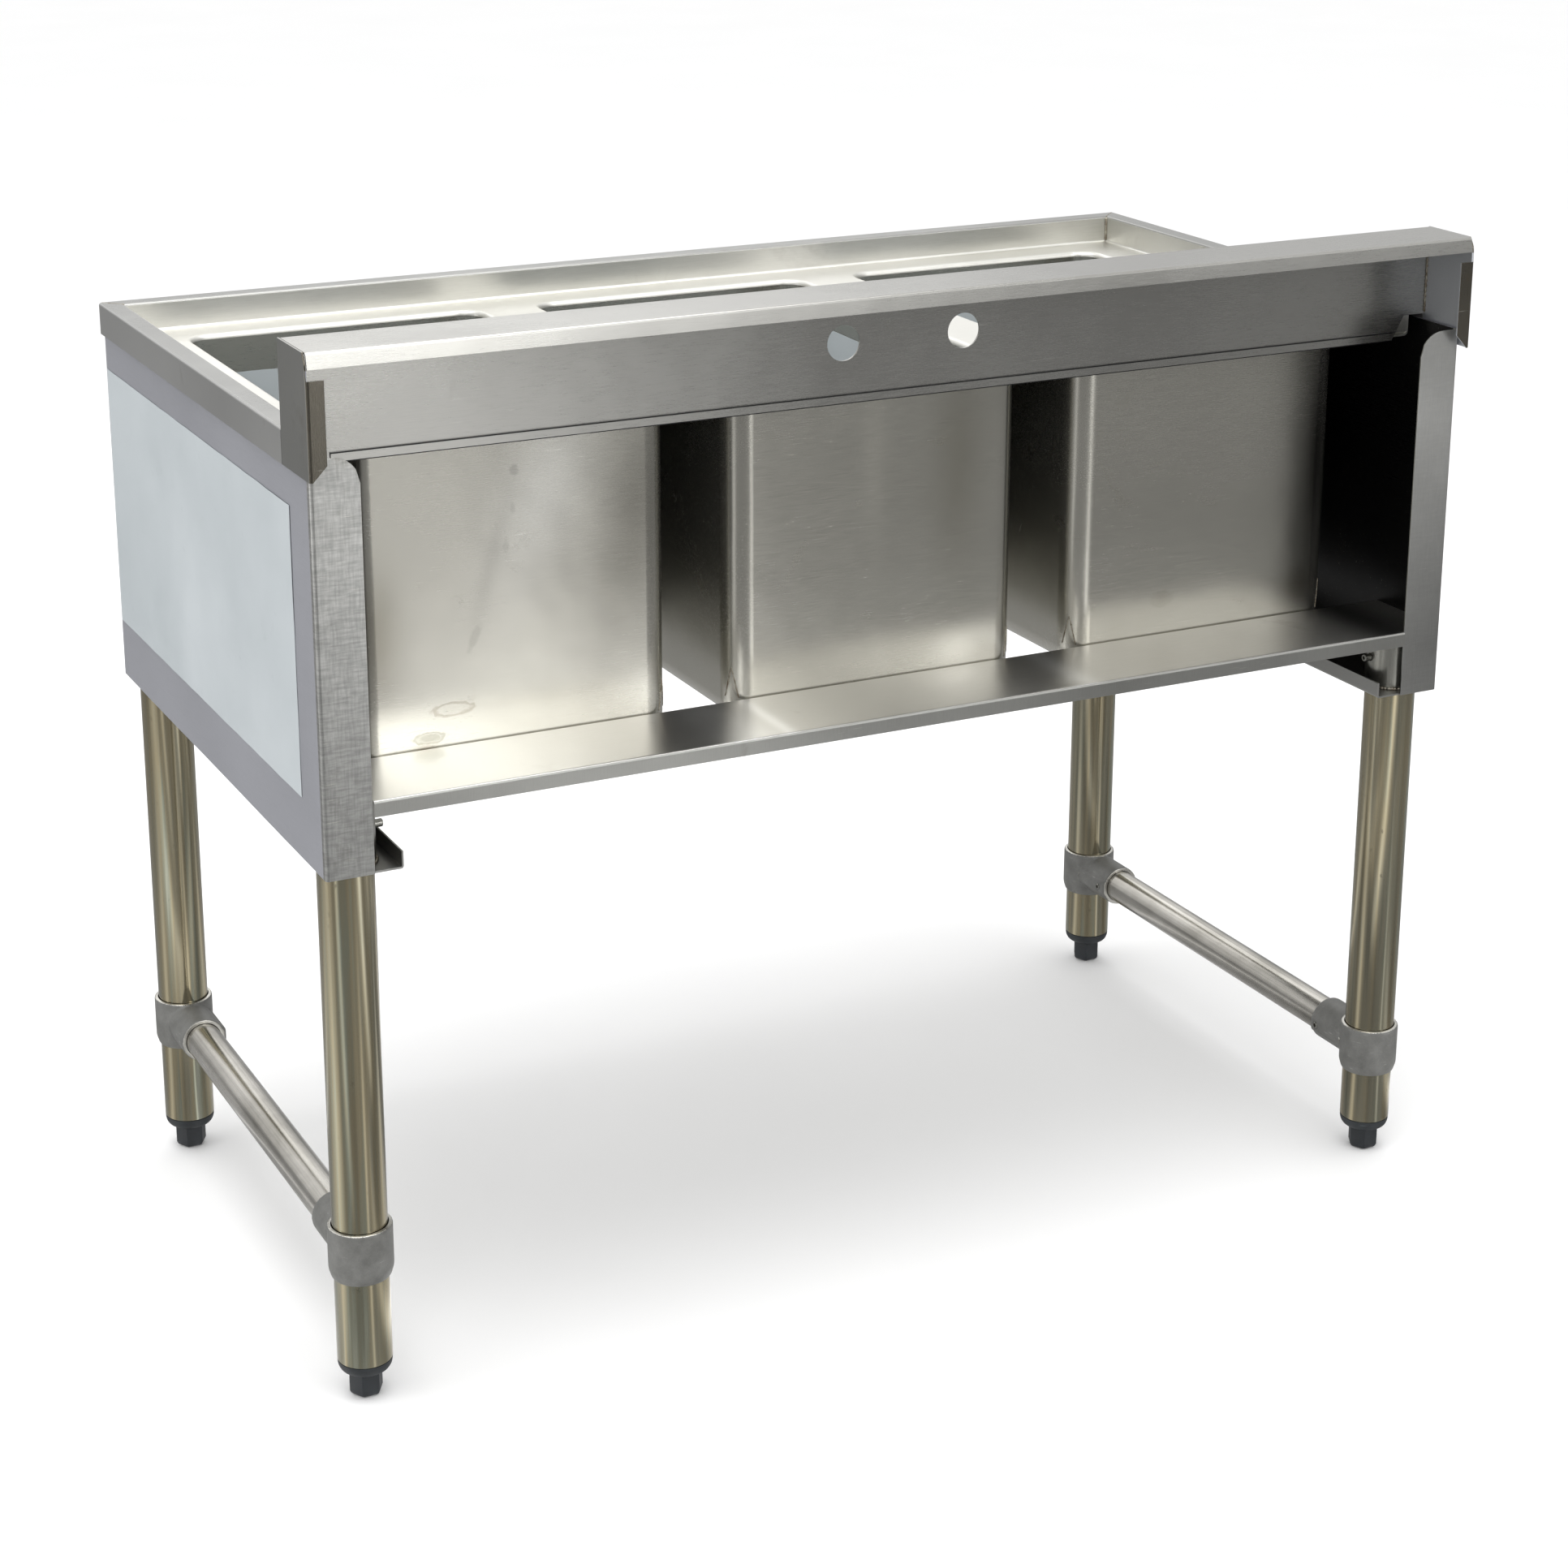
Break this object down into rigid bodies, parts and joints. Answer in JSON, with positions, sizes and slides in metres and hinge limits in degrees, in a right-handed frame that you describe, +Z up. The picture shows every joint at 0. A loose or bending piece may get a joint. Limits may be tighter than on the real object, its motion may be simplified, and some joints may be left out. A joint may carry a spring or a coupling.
{
  "type": "three compartment sink",
  "caption": "Free-standing steel bar sink with deep bowls in one deck, raised back with faucet holes, skirted ends, rear ledge and tube legs with screw-in feet.",
  "frame": {"origin": "on the floor, at the centre of the footprint", "axes": "+Z up, +Y towards the wall (the raised back), -Y towards the user, +X along the length towards the end that is nearer in the reference view"},
  "size_m": [0.964, 0.532, 0.8],
  "materials": {
    "brushed_sheet": "brushed stainless sheet, fine horizontal grain",
    "bowl_sheet": "brushed stainless sheet with weld stains and scratches",
    "side_sheet": "bare steel sheet, matt, slightly lilac grey",
    "stainless_tube": "drawn tube, satin, lengthwise lines",
    "galvanised_leg": "zinc plated tube with a yellow-green passivation tint",
    "cast_tee": "matt grey cast fitting, fine texture",
    "plated_hardware": "zinc plated, satin",
    "insert_plastic": "dark slate moulded plastic",
    "foot_plastic": "dark slate moulded plastic",
    "gasket_rubber": "matt black rubber",
    "polished_drain": "polished stainless",
    "protective_film": "thin pale blue-grey protective film, satin"
  },
  "bodies": {
    "root": {"deck_with_raised_rim": "brushed_sheet", "backsplash": "brushed_sheet", "end_cap_left": "brushed_sheet", "end_panel_left": "side_sheet", "leg_channel_left": "brushed_sheet", "cross_tube_left": "stainless_tube", "panel_film_left": "protective_film", "end_cap_right": "brushed_sheet", "end_panel_right": "side_sheet", "leg_channel_right": "brushed_sheet", "cross_tube_right": "stainless_tube", "panel_film_right": "protective_film", "front_apron": "side_sheet", "rear_ledge": "brushed_sheet", "bowl_left": "bowl_sheet", "drain_body_left": "polished_drain", "drain_gasket_left": "gasket_rubber", "drain_nut_left": "plated_hardware", "bowl_film_left": "protective_film", "bowl_middle": "bowl_sheet", "drain_body_middle": "polished_drain", "drain_gasket_middle": "gasket_rubber", "drain_nut_middle": "plated_hardware", "bowl_film_middle": "protective_film", "bowl_right": "bowl_sheet", "drain_body_right": "polished_drain", "drain_gasket_right": "gasket_rubber", "drain_nut_right": "plated_hardware", "bowl_film_right": "protective_film", "leg_socket_rear_left": "plated_hardware", "socket_screw_rear_left": "plated_hardware", "leg_rear_left": "galvanised_leg", "tee_rear_left": "cast_tee", "tee_screw_rear_left": "plated_hardware", "foot_insert_rear_left": "insert_plastic", "leg_socket_front_left": "plated_hardware", "socket_screw_front_left": "plated_hardware", "leg_front_left": "galvanised_leg", "tee_front_left": "cast_tee", "tee_screw_front_left": "plated_hardware", "foot_insert_front_left": "insert_plastic", "leg_socket_rear_right": "plated_hardware", "socket_screw_rear_right": "plated_hardware", "leg_rear_right": "galvanised_leg", "tee_rear_right": "cast_tee", "tee_screw_rear_right": "plated_hardware", "foot_insert_rear_right": "insert_plastic", "leg_socket_front_right": "plated_hardware", "socket_screw_front_right": "plated_hardware", "leg_front_right": "galvanised_leg", "tee_front_right": "cast_tee", "tee_screw_front_right": "plated_hardware", "foot_insert_front_right": "insert_plastic"},
    "levelling_rear_left": {"foot_rear_left": "foot_plastic"},
    "levelling_front_left": {"foot_front_left": "foot_plastic"},
    "levelling_rear_right": {"foot_rear_right": "foot_plastic"},
    "levelling_front_right": {"foot_front_right": "foot_plastic"},
    "lift_out_left": {"strainer_left": "polished_drain"},
    "lift_out_middle": {"strainer_middle": "polished_drain"},
    "lift_out_right": {"strainer_right": "polished_drain"}
  },
  "joints": [
    {"name": "level_rear_left", "type": "slide", "parent": "root", "child": "levelling_rear_left", "axis": [0, 0, -1], "range_m": [0, 0.025]},
    {"name": "level_front_left", "type": "slide", "parent": "root", "child": "levelling_front_left", "axis": [0, 0, -1], "range_m": [0, 0.025]},
    {"name": "level_rear_right", "type": "slide", "parent": "root", "child": "levelling_rear_right", "axis": [0, 0, -1], "range_m": [0, 0.025]},
    {"name": "level_front_right", "type": "slide", "parent": "root", "child": "levelling_front_right", "axis": [0, 0, -1], "range_m": [0, 0.025]},
    {"name": "lift_left", "type": "slide", "parent": "root", "child": "lift_out_left", "axis": [0, 0, 1], "range_m": [0, 0.4]},
    {"name": "lift_middle", "type": "slide", "parent": "root", "child": "lift_out_middle", "axis": [0, 0, 1], "range_m": [0, 0.4]},
    {"name": "lift_right", "type": "slide", "parent": "root", "child": "lift_out_right", "axis": [0, 0, 1], "range_m": [0, 0.4]}
  ]
}
